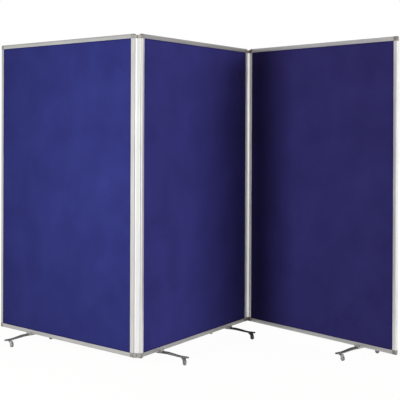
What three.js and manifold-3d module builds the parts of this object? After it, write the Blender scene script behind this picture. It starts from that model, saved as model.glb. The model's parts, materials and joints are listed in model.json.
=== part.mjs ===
// Folding privacy screen on castors: three felt-faced boards in aluminium frames, joined edge to edge
// by two double-pivot hinge strips, standing on four double-ended feet with a swivel castor at each end.
// Millimetres, +Z up, floor at zero. The felt fronts face -Y, and the leaves stand in an open zigzag.
import * as THREE from 'three';
import * as BufferGeometryUtils from 'three/addons/utils/BufferGeometryUtils.js';
import Module from 'manifold-3d';

// Leaves
const leafWidth = 1200;
const leafHeight = 1760;
const floorToLeaf = 60;
const leafTurns = [-43, 58, -51];

// Fits
const fitGap = 0.3;
const runningGap = 0.4;
const cutOverrun = 5;

// Frame extrusion, measured outwards from the edge of the visible felt
const frameFace = 25;
const frameThickness = 20;
const frameRound = 6;
const boardInsert = 8;
const channelWeb = 2;
const chamberTipWall = 4;
const chamberWidth = 12;

// Board and its felt sleeve
const coreThickness = 12;
const feltThickness = 1.2;
const feltLoft = 0.4;

// Corner caps
const capOverlap = 1;
const capProud = 0.6;
const plainCornerRadius = 7;
const hingedCornerRadius = 12;
const capLegLength = 32;

// Hinge strips
const pivotProud = 3;
const pivotSpacing = 23;
const beadRadius = 4.2;
const grooveGap = 0.6;
const webThickness = 5;
const hingePinRadius = 2;
const hingePinLength = 14;
const earRadius = 10.8;
const topEarDrop = 8;
const bottomEarDrop = 2;
const stripTurns = [-10, 15];

// Feet
const outerFootInset = 283;
const middleFootInset = 212;
const armReach = 185;
const armWidth = 25;
const armRootDepth = 11;
const armShoulder = 38;
const padLength = 58;
const padThickness = 6;
const cheekThickness = 3;
const cheekDrop = 11;
const saddleLip = 2.5;
const saddlePlate = 1.9;
const saddleHornHeight = 7;
const boltRadius = 3;
const boltHeadRadius = 6;
const boltHeadHeight = 3.5;
const boltDomeShares = [[0, 1], [0.6, 0.8], [1, 0.3], [1, 0]];
const boltEngagement = 8;

// Castors
const castorHeight = 40;
const castorInset = 37;
const wheelRadius = 12.5;
const wheelWidth = 11;
const wheelShoulder = 2;
const wheelTrail = 17.5;
const axleRadius = 2.5;
const wheelSideGap = 0.8;
const wheelTopGap = 1.6;
const forkCheek = 2.2;
const forkSkirt = 7;
const headRadius = 9.5;
const headHeight = 4;
const kingpinRadius = 3.7;
const frontTrailHeadings = [-38, -62, -40, -44];
const rearTrailHeadings = [-30, -52, -46, -35];

// Facets
const edgeSegments = 8;
const roundSegments = 12;
const wheelSegments = 24;
const curveSteps = 6;

// Sizes that follow from the ones above
const feltStack = coreThickness + 2 * (feltThickness + fitGap);
const channelDepth = boardInsert + fitGap;
const channelWidth = feltStack + 2 * fitGap;
const chamberStart = channelDepth + channelWeb;
const chamberEnd = frameFace - chamberTipWall;
const capThickness = frameThickness + 2 * capProud;
const capSpan = frameFace + capOverlap;
const stileLength = leafHeight - 2 * (capSpan + fitGap);
const railLength = leafWidth - 2 * (capSpan + fitGap);
const pivotFromFelt = frameFace + pivotProud;
const grooveRadius = beadRadius + grooveGap;
const boreRadius = hingePinRadius + runningGap;
const armTop = floorToLeaf - saddlePlate - 2 * fitGap;
const castorReach = armReach - castorInset;
const leafHeightCentre = floorToLeaf + leafHeight / 2;

const finishes = {
  felt: { color: 0x33347a, roughness: 0.95, metalness: 0 },
  core: { color: 0xb59a74, roughness: 0.9, metalness: 0 },
  aluminium: { color: 0xc9cacb, roughness: 0.35, metalness: 0.9 },
  cap: { color: 0x9a9a96, roughness: 0.6, metalness: 0 },
  strip: { color: 0xd8d9d8, roughness: 0.35, metalness: 0.8 },
  arm: { color: 0x3b3b3f, roughness: 0.5, metalness: 0.4 },
  saddle: { color: 0xa3a4a0, roughness: 0.45, metalness: 0.6 },
  fork: { color: 0xb4b5b6, roughness: 0.4, metalness: 0.5 },
  tyre: { color: 0x202022, roughness: 0.7, metalness: 0 },
  zinc: { color: 0x8f9296, roughness: 0.4, metalness: 0.9 },
};

const manifold = await Module();
manifold.setup();

function toSolid(geometry) {
  const bare = geometry.clone();
  bare.deleteAttribute('normal');
  bare.deleteAttribute('uv');
  const merged = BufferGeometryUtils.mergeVertices(bare);
  return new manifold.Manifold(new manifold.Mesh({
    numProp: 3,
    vertProperties: new Float32Array(merged.attributes.position.array),
    triVerts: new Uint32Array(merged.index.array),
  }));
}

function toGeometry(solid) {
  const mesh = solid.getMesh();
  const geometry = new THREE.BufferGeometry();
  geometry.setAttribute('position', new THREE.BufferAttribute(mesh.vertProperties, 3));
  geometry.setIndex(new THREE.BufferAttribute(mesh.triVerts, 1));
  geometry.computeVertexNormals();
  return geometry;
}

// A box between two corners, given as [x, y, z].
function block(low, high) {
  const size = high.map((value, axis) => value - low[axis]);
  const centre = high.map((value, axis) => (value + low[axis]) / 2);
  return new THREE.BoxGeometry(...size).translate(...centre);
}

// An upright cylinder from one height to another.
function post(radius, bottom, top, x, y, segments) {
  const height = top - bottom;
  return new THREE.CylinderGeometry(radius, radius, height, segments)
    .rotateX(Math.PI / 2)
    .translate(x, y, bottom + height / 2);
}

function extrude(shape, depth, curveSegments) {
  return new THREE.ExtrudeGeometry(shape, { depth, curveSegments, bevelEnabled: false })
    .translate(0, 0, -depth / 2);
}

// Turns a section drawn across and up, and extruded in depth, so that depth lies along X.
function layAlongX(geometry) {
  return geometry.rotateX(Math.PI / 2).rotateZ(Math.PI / 2);
}

function named(name, geometry, finish) {
  const mesh = new THREE.Mesh(geometry, new THREE.MeshStandardMaterial(finish));
  mesh.name = name;
  return mesh;
}

// The outside of the frame section: flat faces that end in a half-ellipse nose.
function noseOutline(inner, outer, thickness) {
  const half = thickness / 2;
  const flatEnd = outer - frameRound;
  const shape = new THREE.Shape();
  shape.moveTo(inner, -half);
  shape.lineTo(flatEnd, -half);
  shape.absellipse(flatEnd, 0, frameRound, half, -Math.PI / 2, Math.PI / 2, false);
  shape.lineTo(inner, half);
  shape.closePath();
  return shape;
}

// One length of the frame extrusion: along Z, nose towards +X, felt edge at zero. It has a channel for
// the board, a hollow chamber for the cap legs and a shallow round groove along the nose.
function frameLength(length, boltPlaces) {
  const reach = length / 2 + cutOverrun;
  const channel = block([-cutOverrun, -channelWidth / 2, -reach], [channelDepth, channelWidth / 2, reach]);
  const chamber = block([chamberStart, -chamberWidth / 2, -reach], [chamberEnd, chamberWidth / 2, reach]);
  const groove = post(grooveRadius, -reach, reach, pivotFromFelt, 0, roundSegments);
  let solid = toSolid(extrude(noseOutline(0, frameFace, frameThickness), length, edgeSegments))
    .subtract(toSolid(channel))
    .subtract(toSolid(chamber))
    .subtract(toSolid(groove));
  for (const place of boltPlaces) {
    const hole = new THREE.CylinderGeometry(
      boltRadius + runningGap, boltRadius + runningGap, chamberTipWall + cutOverrun, roundSegments,
    ).rotateZ(Math.PI / 2).translate(frameFace, 0, place);
    solid = solid.subtract(toSolid(hole));
  }
  return toGeometry(solid);
}

// A corner cap for the top right corner, with the corner of the visible felt at zero: a block with the
// frame's nose on both outer sides, a pocket for the board and a leg for each frame chamber.
// A hinged cap has a rounder corner, and an ear, some drop below the corner, that holds the pin of the
// hinge strip.
function cornerCap(hinged, earDrop) {
  const cornerRadius = hinged ? hingedCornerRadius : plainCornerRadius;
  const outline = noseOutline(-capOverlap, frameFace, capThickness);
  const middle = frameFace - capSpan / 2;
  const upright = extrude(outline, capSpan, edgeSegments).translate(0, 0, middle);
  const level = extrude(outline, capSpan, edgeSegments).rotateY(-Math.PI / 2).translate(middle, 0, 0);
  const face = new THREE.Shape();
  face.moveTo(-capOverlap, -capOverlap);
  face.lineTo(frameFace, -capOverlap);
  face.absarc(frameFace - cornerRadius, frameFace - cornerRadius, cornerRadius, 0, Math.PI / 2, false);
  face.lineTo(-capOverlap, frameFace);
  face.closePath();
  const corner = extrude(face, capThickness + cutOverrun, edgeSegments).rotateX(Math.PI / 2);
  const pocketStart = -capOverlap - cutOverrun;
  const pocket = block([pocketStart, -channelWidth / 2, pocketStart], [channelDepth, channelWidth / 2, channelDepth]);
  const legHalf = chamberWidth / 2 - fitGap;
  const legTip = -capOverlap - capLegLength;
  const stileLeg = block([chamberStart + fitGap, -legHalf, legTip], [chamberEnd - fitGap, legHalf, 0]);
  const railLeg = block([legTip, -legHalf, chamberStart + fitGap], [0, legHalf, chamberEnd - fitGap]);
  let solid = toSolid(upright)
    .intersect(toSolid(level))
    .intersect(toSolid(corner))
    .subtract(toSolid(pocket))
    .add(toSolid(stileLeg))
    .add(toSolid(railLeg));
  if (hinged) {
    const ear = post(earRadius, -capOverlap, frameFace - earDrop, pivotFromFelt, 0, roundSegments);
    const pin = post(hingePinRadius, -capOverlap - hingePinLength, 0, pivotFromFelt, 0, roundSegments);
    solid = solid.add(toSolid(ear)).add(toSolid(pin));
  }
  return toGeometry(solid);
}

// The felt sleeve, open at the top and bottom, wrapped round the edges of the core. Where no channel lip
// or corner cap presses on it, it lofts on both faces.
function feltSleeve(width, height) {
  const rectangle = (path, across, through) => {
    path.moveTo(-across / 2, -through / 2);
    path.lineTo(across / 2, -through / 2);
    path.lineTo(across / 2, through / 2);
    path.lineTo(-across / 2, through / 2);
    path.closePath();
    return path;
  };
  const outline = rectangle(new THREE.Shape(), width, feltStack);
  outline.holes.push(rectangle(new THREE.Path(), width - 2 * feltThickness, feltStack - 2 * feltThickness));
  let solid = toSolid(extrude(outline, height, 1));
  const clearAcross = leafWidth / 2 - frameFace - fitGap;
  const clearUp = leafHeight / 2 - frameFace - fitGap;
  const crest = feltStack / 2 + feltLoft;
  const root = (feltStack - feltThickness) / 2;
  for (const [across, up] of [[clearAcross, clearUp - capOverlap], [clearAcross - capOverlap, clearUp]]) {
    solid = solid
      .add(toSolid(block([-across, root, -up], [across, crest, up])))
      .add(toSolid(block([-across, -crest, -up], [across, -root, up])));
  }
  return toGeometry(solid);
}

// A hinge strip with its first pivot at zero and its second along +X: two round beads and a web.
function hingeStrip() {
  const seam = Math.asin(webThickness / 2 / beadRadius);
  const outline = new THREE.Shape();
  outline.absarc(0, 0, beadRadius, seam, 2 * Math.PI - seam, false);
  outline.absarc(pivotSpacing, 0, beadRadius, Math.PI + seam, 3 * Math.PI - seam, false);
  outline.closePath();
  for (const x of [0, pivotSpacing]) {
    const bore = new THREE.Path();
    bore.absarc(x, 0, boreRadius, 0, 2 * Math.PI, true);
    outline.holes.push(bore);
  }
  return extrude(outline, stileLength, edgeSegments);
}

// A foot arm along Y: arched and deep at the middle, thinning to a flat round-ended pad at each tip.
function footArm() {
  const padStart = armReach - padLength;
  const padTop = castorHeight + padThickness;
  const ease = (padStart - armShoulder) / 2;
  const rootBottom = armTop - armRootDepth;
  const side = new THREE.Shape();
  side.moveTo(-armReach, castorHeight);
  side.lineTo(-padStart, castorHeight);
  side.bezierCurveTo(-padStart + ease, castorHeight, -armShoulder - ease, rootBottom, -armShoulder, rootBottom);
  side.lineTo(armShoulder, rootBottom);
  side.bezierCurveTo(armShoulder + ease, rootBottom, padStart - ease, castorHeight, padStart, castorHeight);
  side.lineTo(armReach, castorHeight);
  side.lineTo(armReach, padTop);
  side.lineTo(padStart, padTop);
  side.bezierCurveTo(padStart - ease, padTop, armShoulder + ease, armTop, armShoulder, armTop);
  side.lineTo(-armShoulder, armTop);
  side.bezierCurveTo(-armShoulder - ease, armTop, -padStart + ease, padTop, -padStart, padTop);
  side.lineTo(-armReach, padTop);
  side.closePath();
  const half = armWidth / 2;
  const plan = new THREE.Shape();
  plan.absarc(0, armReach - half, half, 0, Math.PI, false);
  plan.absarc(0, half - armReach, half, Math.PI, 2 * Math.PI, false);
  plan.closePath();
  let solid = toSolid(layAlongX(extrude(side, armWidth + cutOverrun, curveSteps)))
    .intersect(toSolid(extrude(plan, 2 * leafHeight, curveSteps)))
    .subtract(toSolid(post(boltRadius + runningGap, 0, floorToLeaf, 0, 0, roundSegments)));
  for (const y of [-castorReach, castorReach]) {
    const seat = post(kingpinRadius + runningGap, 0, floorToLeaf, 0, y, roundSegments);
    solid = solid.subtract(toSolid(seat));
  }
  return toGeometry(solid);
}

// The saddle that bolts an arm under the bottom rail: cradled to the rail's nose, with a cheek each side.
function footSaddle() {
  const innerHalf = armWidth / 2 + fitGap;
  const outerHalf = innerHalf + cheekThickness;
  const depthHalf = frameThickness / 2 + saddleLip;
  const plateBottom = armTop + fitGap;
  const body = block(
    [-outerHalf, -depthHalf, plateBottom - cheekDrop],
    [outerHalf, depthHalf, floorToLeaf + saddleHornHeight],
  );
  const tunnel = block([-innerHalf, -depthHalf - cutOverrun, 0], [innerHalf, depthHalf + cutOverrun, plateBottom]);
  const railNose = extrude(
    noseOutline(-leafWidth, frameFace + fitGap, frameThickness + 2 * fitGap), 2 * outerHalf + cutOverrun, edgeSegments,
  ).rotateY(Math.PI / 2).translate(0, 0, floorToLeaf + frameFace);
  const hole = post(boltRadius + runningGap, 0, leafHeight, 0, 0, roundSegments);
  return toGeometry(toSolid(body)
    .subtract(toSolid(tunnel))
    .subtract(toSolid(railNose))
    .subtract(toSolid(hole)));
}

// A foot bolt: a low domed head under the arm and a shank up into the rail's chamber.
function footBolt() {
  const headTop = armTop - armRootDepth - fitGap;
  const shankTop = floorToLeaf + boltEngagement;
  const dome = boltDomeShares.map(([out, down]) => [boltHeadRadius * out, headTop - boltHeadHeight * down]);
  const profile = [...dome, [boltRadius, headTop], [boltRadius, shankTop], [0, shankTop]];
  const points = profile.map(([x, y]) => new THREE.Vector2(x, y));
  return new THREE.LatheGeometry(points, roundSegments).rotateX(Math.PI / 2);
}

// A castor fork with its swivel axis at zero and its wheel trailing towards +X: a slim raked hood over
// the front of the wheel, two cheeks joined by the axle, a round head and the kingpin.
function castorFork() {
  const headBottom = castorHeight - fitGap - headHeight;
  const hoodTop = headBottom + headHeight / 2;
  const halfWidth = wheelWidth / 2 + wheelSideGap + forkCheek;
  const rear = wheelTrail + forkSkirt;
  const front = wheelTrail - forkSkirt;
  const side = new THREE.Shape();
  side.moveTo(-headRadius, hoodTop);
  side.lineTo(headRadius, hoodTop);
  side.quadraticCurveTo(rear, hoodTop, rear, wheelRadius);
  side.absarc(wheelTrail, wheelRadius, forkSkirt, 0, -Math.PI, true);
  side.quadraticCurveTo(front, headBottom - headHeight, -headRadius, headBottom);
  side.closePath();
  const disc = (radius, width) => new THREE.CylinderGeometry(radius, radius, width, wheelSegments)
    .translate(wheelTrail, 0, wheelRadius);
  const well = disc(wheelRadius + wheelTopGap, wheelWidth + 2 * wheelSideGap);
  const axle = new THREE.CylinderGeometry(axleRadius, axleRadius, 2 * halfWidth - forkCheek, roundSegments)
    .translate(wheelTrail, 0, wheelRadius);
  return toGeometry(toSolid(extrude(side, 2 * halfWidth, curveSteps).rotateX(Math.PI / 2))
    .subtract(toSolid(well))
    .add(toSolid(axle))
    .add(toSolid(post(headRadius, headBottom, castorHeight - fitGap, 0, 0, roundSegments)))
    .add(toSolid(post(kingpinRadius, headBottom, castorHeight + padThickness - fitGap, 0, 0, roundSegments))));
}

// A castor wheel centred on zero with its axle along Y.
function castorWheel() {
  const half = wheelWidth / 2;
  const bore = axleRadius + runningGap;
  const flank = wheelRadius - wheelShoulder;
  const profile = [
    [bore, -half],
    [flank, -half],
    [wheelRadius, -half + wheelShoulder],
    [wheelRadius, half - wheelShoulder],
    [flank, half],
    [bore, half],
    [bore, -half],
  ];
  const points = profile.map(([x, y]) => new THREE.Vector2(x, y));
  return new THREE.LatheGeometry(points, wheelSegments);
}

const stile = frameLength(stileLength, []);
const plainCap = cornerCap(false, 0);
const hingedCaps = { top: cornerCap(true, topEarDrop), bottom: cornerCap(true, bottomEarDrop) };
const armShape = footArm();
const saddleShape = footSaddle();
const boltShape = footBolt();
const forkShape = castorFork();
const wheelShape = castorWheel();

function buildCastor(name, heading) {
  const castor = new THREE.Group();
  castor.rotation.z = THREE.MathUtils.degToRad(heading);
  const wheel = named(`${name}_wheel`, wheelShape, finishes.tyre);
  wheel.position.set(wheelTrail, 0, wheelRadius);
  castor.add(named(`${name}_fork`, forkShape, finishes.fork), wheel);
  return castor;
}

// A foot under a leaf: its castors trail along headings given in the room, not in the leaf.
function buildFoot(number, leafTurn) {
  const name = `foot_${number}`;
  const foot = new THREE.Group();
  foot.add(
    named(`${name}_arm`, armShape, finishes.arm),
    named(`${name}_saddle`, saddleShape, finishes.saddle),
    named(`${name}_bolt`, boltShape, finishes.zinc),
  );
  const front = buildCastor(`${name}_front`, frontTrailHeadings[number - 1] - leafTurn);
  front.position.y = -castorReach;
  const rear = buildCastor(`${name}_rear`, rearTrailHeadings[number - 1] - leafTurn);
  rear.position.y = castorReach;
  foot.add(front, rear);
  return foot;
}

function buildFrame(name, footPlaces, hingedSides) {
  const frame = new THREE.Group();
  const railHoles = footPlaces.map((place) => place - leafWidth / 2);
  const bottomRail = named(`${name}_bottom_rail`, frameLength(railLength, railHoles), finishes.aluminium);
  bottomRail.position.set(leafWidth / 2, 0, floorToLeaf + frameFace);
  bottomRail.rotation.y = Math.PI / 2;
  const topRail = named(`${name}_top_rail`, frameLength(railLength, []), finishes.aluminium);
  topRail.position.set(leafWidth / 2, 0, floorToLeaf + leafHeight - frameFace);
  topRail.rotation.y = -Math.PI / 2;
  const rightStile = named(`${name}_right_stile`, stile, finishes.aluminium);
  rightStile.position.set(leafWidth - frameFace, 0, leafHeightCentre);
  const leftStile = named(`${name}_left_stile`, stile, finishes.aluminium);
  leftStile.position.set(frameFace, 0, leafHeightCentre);
  leftStile.rotation.z = Math.PI;
  frame.add(bottomRail, topRail, rightStile, leftStile);
  for (const side of ['left', 'right']) {
    for (const end of ['top', 'bottom']) {
      const shape = hingedSides.includes(side) ? hingedCaps[end] : plainCap;
      const cap = named(`${name}_${end}_${side}_cap`, shape, finishes.cap);
      cap.position.x = side === 'left' ? frameFace : leafWidth - frameFace;
      cap.position.z = end === 'top' ? floorToLeaf + leafHeight - frameFace : floorToLeaf + frameFace;
      if (side === 'left' && end === 'top') cap.rotation.z = Math.PI;
      if (side === 'left' && end === 'bottom') cap.rotation.y = Math.PI;
      if (side === 'right' && end === 'bottom') cap.rotation.x = Math.PI;
      frame.add(cap);
    }
  }
  return frame;
}

function buildBoard(name) {
  const width = leafWidth - 2 * (frameFace - boardInsert);
  const height = leafHeight - 2 * (frameFace - boardInsert);
  const coreWidth = width - 2 * (feltThickness + fitGap);
  const board = new THREE.Group();
  board.position.set(leafWidth / 2, 0, leafHeightCentre);
  board.add(
    named(`${name}_core`, new THREE.BoxGeometry(coreWidth, coreThickness, height), finishes.core),
    named(`${name}_felt`, feltSleeve(width, height), finishes.felt),
  );
  return board;
}

// A whole leaf, its left outer edge at zero and its face along +X.
function buildLeaf(number, footNumbers, footPlaces, hingedSides) {
  const name = `leaf_${number}`;
  const turn = leafTurns[number - 1];
  const leaf = new THREE.Group();
  leaf.rotation.z = THREE.MathUtils.degToRad(turn);
  leaf.add(buildBoard(name), buildFrame(name, footPlaces, hingedSides));
  footNumbers.forEach((footNumber, index) => {
    const foot = buildFoot(footNumber, turn);
    foot.position.x = footPlaces[index];
    leaf.add(foot);
  });
  return leaf;
}

// Where a point ends up after a walk of some length along a heading.
function walk(start, length, heading) {
  const angle = THREE.MathUtils.degToRad(heading);
  return start.clone().add(new THREE.Vector2(Math.cos(angle), Math.sin(angle)).multiplyScalar(length));
}

// The leaves and strips in a chain, from the left outer edge of the first leaf.
const chain = new THREE.Group();
const feet = [
  { numbers: [1], places: [outerFootInset], hinged: ['right'] },
  { numbers: [2, 3], places: [middleFootInset, leafWidth - middleFootInset], hinged: ['left', 'right'] },
  { numbers: [4], places: [leafWidth - outerFootInset], hinged: ['left'] },
];
let edge = new THREE.Vector2(0, 0);
feet.forEach(({ numbers, places, hinged }, index) => {
  const turn = leafTurns[index];
  const leaf = buildLeaf(index + 1, numbers, places, hinged);
  leaf.position.set(edge.x, edge.y, 0);
  chain.add(leaf);
  if (index < stripTurns.length) {
    const firstPivot = walk(edge, leafWidth + pivotProud, turn);
    const strip = named(`hinge_strip_${index + 1}`, hingeStrip(), finishes.strip);
    strip.position.set(firstPivot.x, firstPivot.y, leafHeightCentre);
    strip.rotation.z = THREE.MathUtils.degToRad(stripTurns[index]);
    chain.add(strip);
    const secondPivot = walk(firstPivot, pivotSpacing, stripTurns[index]);
    edge = walk(secondPivot, pivotProud, leafTurns[index + 1]);
  }
});

// The middle of the footprint is the origin.
const bounds = new THREE.Box3().setFromObject(chain, true);
const middle = bounds.getCenter(new THREE.Vector3());
chain.position.set(-middle.x, -middle.y, 0);

const screen = new THREE.Group();
screen.add(chain);
screen.updateMatrixWorld(true);

export default screen;
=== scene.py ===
"""Folding privacy screen: three felt-covered boards in anodised frames, standing on castored feet.

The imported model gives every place. This script dresses it with finished pieces and a plain studio.
All lengths are in metres.
"""

import json
import logging
import math
from collections.abc import Callable, Iterable, Sequence
from dataclasses import dataclass
from enum import Enum

import bmesh
import bpy
from mathutils import Matrix, Vector, noise
from mathutils.geometry import tessellate_polygon

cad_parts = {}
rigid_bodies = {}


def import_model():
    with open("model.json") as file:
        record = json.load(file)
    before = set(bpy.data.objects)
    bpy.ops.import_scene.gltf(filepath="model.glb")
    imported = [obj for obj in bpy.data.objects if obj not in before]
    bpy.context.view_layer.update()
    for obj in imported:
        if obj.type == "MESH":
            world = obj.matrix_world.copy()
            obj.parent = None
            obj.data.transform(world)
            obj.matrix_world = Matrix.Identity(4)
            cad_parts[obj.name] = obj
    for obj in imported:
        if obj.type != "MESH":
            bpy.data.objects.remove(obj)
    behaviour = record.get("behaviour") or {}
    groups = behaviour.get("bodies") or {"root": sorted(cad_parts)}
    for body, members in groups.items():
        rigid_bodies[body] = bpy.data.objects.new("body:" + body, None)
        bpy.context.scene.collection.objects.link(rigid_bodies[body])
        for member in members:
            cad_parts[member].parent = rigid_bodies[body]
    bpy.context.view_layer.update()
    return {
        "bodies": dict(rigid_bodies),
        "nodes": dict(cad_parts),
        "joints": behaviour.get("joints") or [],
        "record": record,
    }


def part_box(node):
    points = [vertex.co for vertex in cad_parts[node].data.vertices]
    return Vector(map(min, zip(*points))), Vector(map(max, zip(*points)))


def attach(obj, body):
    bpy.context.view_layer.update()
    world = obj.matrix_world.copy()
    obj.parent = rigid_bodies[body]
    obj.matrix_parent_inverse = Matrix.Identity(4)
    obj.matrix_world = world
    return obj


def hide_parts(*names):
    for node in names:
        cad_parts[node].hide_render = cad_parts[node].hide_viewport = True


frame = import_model()
GRAIN = "grain"
# The point attribute that carries the painted shade on the felt beside the frame lips
RIM_SHADE = "pressed"
MERGE = 1e-6
WELD = 1e-5
SLIVER = 1e-7
WHITE = (1.0, 1.0, 1.0, 1.0)
log = logging.getLogger("screen")

Point = tuple[float, float]
Triple = tuple[float, float, float]
Material = bpy.types.Material
Mesh = bpy.types.Mesh
Object = bpy.types.Object
Socket = bpy.types.NodeSocket
Tree = bpy.types.NodeTree
Inputs = dict[str | int, Socket | float | Sequence[float]]


class Joining(Enum):
    """How one solid is combined with another."""

    CUT = "DIFFERENCE"
    ADD = "UNION"


class Side(Enum):
    """The two upright edges of a leaf, seen from its front."""

    LEFT = "left"
    RIGHT = "right"


class End(Enum):
    """The upper and lower ends of a leaf."""

    TOP = "top"
    BOTTOM = "bottom"


class CastorEnd(Enum):
    """The two ends of a foot."""

    FRONT = "front"
    REAR = "rear"


class BarLight(Enum):
    """How bright a frame bar is painted: lit and shaded copies of one satin finish that paint the light and
    reflections falling on each bar.
    """

    BRIGHT = "bright"
    PALE = "pale"
    FAIR = "fair"
    SATIN = "satin"
    DULL = "dull"


class Tone(Enum):
    """How dark a foot's arm and castors are; the darkest tone is painted shade, foot 3's parts darkened for
    the shade it stands in.
    """

    PALE = "pale"
    MIDDLE = "middle"
    DARK = "dark"


# Geometry helpers


class Shell:
    """Points and faces of one closed skin, gathered before it becomes a mesh."""

    def __init__(self) -> None:
        """Starts with no points and no faces."""
        self.points: list[Vector] = []
        self.faces: list[tuple[int, ...]] = []
        self.patches: list[int] = []

    def ring(self, places: Iterable[Sequence[float]]) -> list[int]:
        """Adds points.

        Args:
            places: the points in order.

        Returns:
            The numbers of the new points.
        """
        first = len(self.points)
        self.points.extend(Vector(place) for place in places)
        return list(range(first, len(self.points)))

    def face(self, corners: Sequence[int], patch: int = 0) -> None:
        """Adds one face with a material patch number."""
        self.faces.append(tuple(corners))
        self.patches.append(patch)

    def bridge(self, low: Sequence[int], high: Sequence[int], closed: bool = True, patch: int = 0) -> None:
        """Joins two rows of equal length with a band of quads.

        Args:
            low: the point numbers of the first row.
            high: the point numbers of the second row.
            closed: whether the rows run round and meet themselves.
            patch: the material patch of the band.
        """
        count = len(low)
        for step in range(count if closed else count - 1):
            following = (step + 1) % count
            self.face((low[step], low[following], high[following], high[step]), patch)

    def mesh(self, name: str, sharp_above: float = 34.0) -> Mesh:
        """Turns the skin into a mesh with merged points and even normals.

        Args:
            name: the mesh's name.
            sharp_above: edges that turn more than this many degrees are shaded sharp.

        Returns:
            The new mesh.
        """
        work = bmesh.new()
        verts = [work.verts.new(point) for point in self.points]
        for corners, patch in zip(self.faces, self.patches):
            face = work.faces.new([verts[number] for number in corners])
            face.material_index = patch
        bmesh.ops.remove_doubles(work, verts=work.verts, dist=MERGE)
        bmesh.ops.recalc_face_normals(work, faces=work.faces)
        made = bpy.data.meshes.new(name)
        work.to_mesh(made)
        work.free()
        return shaded(made, sharp_above)


def shaded(mesh: Mesh, sharp_above: float = 34.0) -> Mesh:
    """Shades a mesh smooth, with its sharper edges kept crisp.

    Args:
        mesh: the mesh to shade.
        sharp_above: edges that turn more than this many degrees stay crisp.

    Returns:
        The same mesh.
    """
    mesh.shade_smooth()
    mesh.set_sharp_from_angle(angle=math.radians(sharp_above))
    return mesh


def arc(centre: Point, radii: Point, start: float, end: float, steps: int) -> list[Point]:
    """Points along an ellipse.

    Args:
        centre: the middle of the ellipse.
        radii: its half widths across and up.
        start: the first angle in degrees.
        end: the last angle in degrees.
        steps: how many spans the arc is cut into.

    Returns:
        The points, with both ends.
    """
    angles = [math.radians(start + (end - start) * step / steps) for step in range(steps + 1)]
    return [(centre[0] + radii[0] * math.cos(a), centre[1] + radii[1] * math.sin(a)) for a in angles]


def curve(points: Sequence[Point], steps: int) -> list[Point]:
    """Points along a Bezier curve of any order.

    Args:
        points: the curve's control points.
        steps: how many spans it is cut into.

    Returns:
        The points, with both ends.
    """
    order = len(points) - 1
    made = []
    for step in range(steps + 1):
        t = step / steps
        weights = [math.comb(order, i) * t**i * (1 - t) ** (order - i) for i in range(order + 1)]
        made.append(tuple(sum(w * p[axis] for w, p in zip(weights, points)) for axis in (0, 1)))
    return made


def prism(name: str, outline: Sequence[Point], holes: Sequence[Sequence[Point]], length: float) -> Mesh:
    """Extrudes a section along Z, centred on zero.

    Args:
        name: the mesh's name.
        outline: the outside of the section.
        holes: closed outlines inside it.
        length: how long the prism is.

    Returns:
        The new mesh.
    """
    shell = Shell()
    ends = []
    for height in (-length / 2, length / 2):
        ends.append([shell.ring((x, y, height) for x, y in loop) for loop in (outline, *holes)])
    for low, high in zip(*ends):
        shell.bridge(low, high)
    loops = [[Vector((x, y, 0)) for x, y in loop] for loop in (outline, *holes)]
    for corners in tessellate_polygon(loops):
        for end in ends:
            numbers = [number for loop in end for number in loop]
            shell.face([numbers[corner] for corner in corners])
    return shell.mesh(name)


def turned(name: str, profile: Sequence[Point], segments: int, patches: Sequence[int] = ()) -> Mesh:
    """Turns a profile of (radius, height) points round Z.

    Args:
        name: the mesh's name.
        profile: the points; a radius of zero closes the solid, and a closed loop makes a ring.
        segments: how many spans go round.
        patches: a material patch for each span of the profile, or nothing.

    Returns:
        The new mesh.
    """
    shell = Shell()
    rings = []
    for radius, height in profile:
        angles = [2 * math.pi * step / segments for step in range(segments)]
        rings.append(shell.ring((radius * math.cos(a), radius * math.sin(a), height) for a in angles))
    for span, (low, high) in enumerate(zip(rings, rings[1:])):
        shell.bridge(low, high, patch=patches[span] if patches else 0)
    return shaded(welded(shell.mesh(name), 0.0, SLIVER))


def oblong(low: Sequence[float], high: Sequence[float]) -> list[Point]:
    """The four corners of a rectangle in order, from its lowest and highest ones."""
    return [(low[0], low[1]), (high[0], low[1]), (high[0], high[1]), (low[0], high[1])]


def cuboid(name: str, low: Sequence[float], high: Sequence[float]) -> Mesh:
    """A block between two corners, used as a cutter or as a blank.

    Args:
        name: the mesh's name.
        low: its lowest corner.
        high: its highest corner.

    Returns:
        The new mesh.
    """
    shell = Shell()
    rings = []
    for z in (low[2], high[2]):
        rings.append(shell.ring((x, y, z) for x, y in oblong(low, high)))
        shell.face(rings[-1])
    shell.bridge(*rings)
    return shell.mesh(name)


def moved(mesh: Mesh, matrix: Matrix) -> Mesh:
    """Moves a mesh's points and gives it back."""
    mesh.transform(matrix)
    return mesh


def stood(name: str, data: bpy.types.ID) -> Object:
    """Makes an object of a mesh, lamp or camera and puts it in the scene.

    Args:
        name: the object's name.
        data: what it shows.

    Returns:
        The object.
    """
    made = bpy.data.objects.new(name, data)
    bpy.context.scene.collection.objects.link(made)
    return made


def worked(mesh: Mesh, steps: Callable[[Object], None]) -> Mesh:
    """Runs modifiers on a mesh and keeps the result.

    Args:
        mesh: the mesh to work on.
        steps: adds the modifiers to a temporary object.

    Returns:
        The new mesh, shaded.
    """
    blank = stood("blank", mesh)
    steps(blank)
    bpy.context.view_layer.update()
    result = bpy.data.meshes.new_from_object(blank.evaluated_get(bpy.context.evaluated_depsgraph_get()))
    result.name = mesh.name
    bpy.data.objects.remove(blank)
    return shaded(result)


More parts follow.
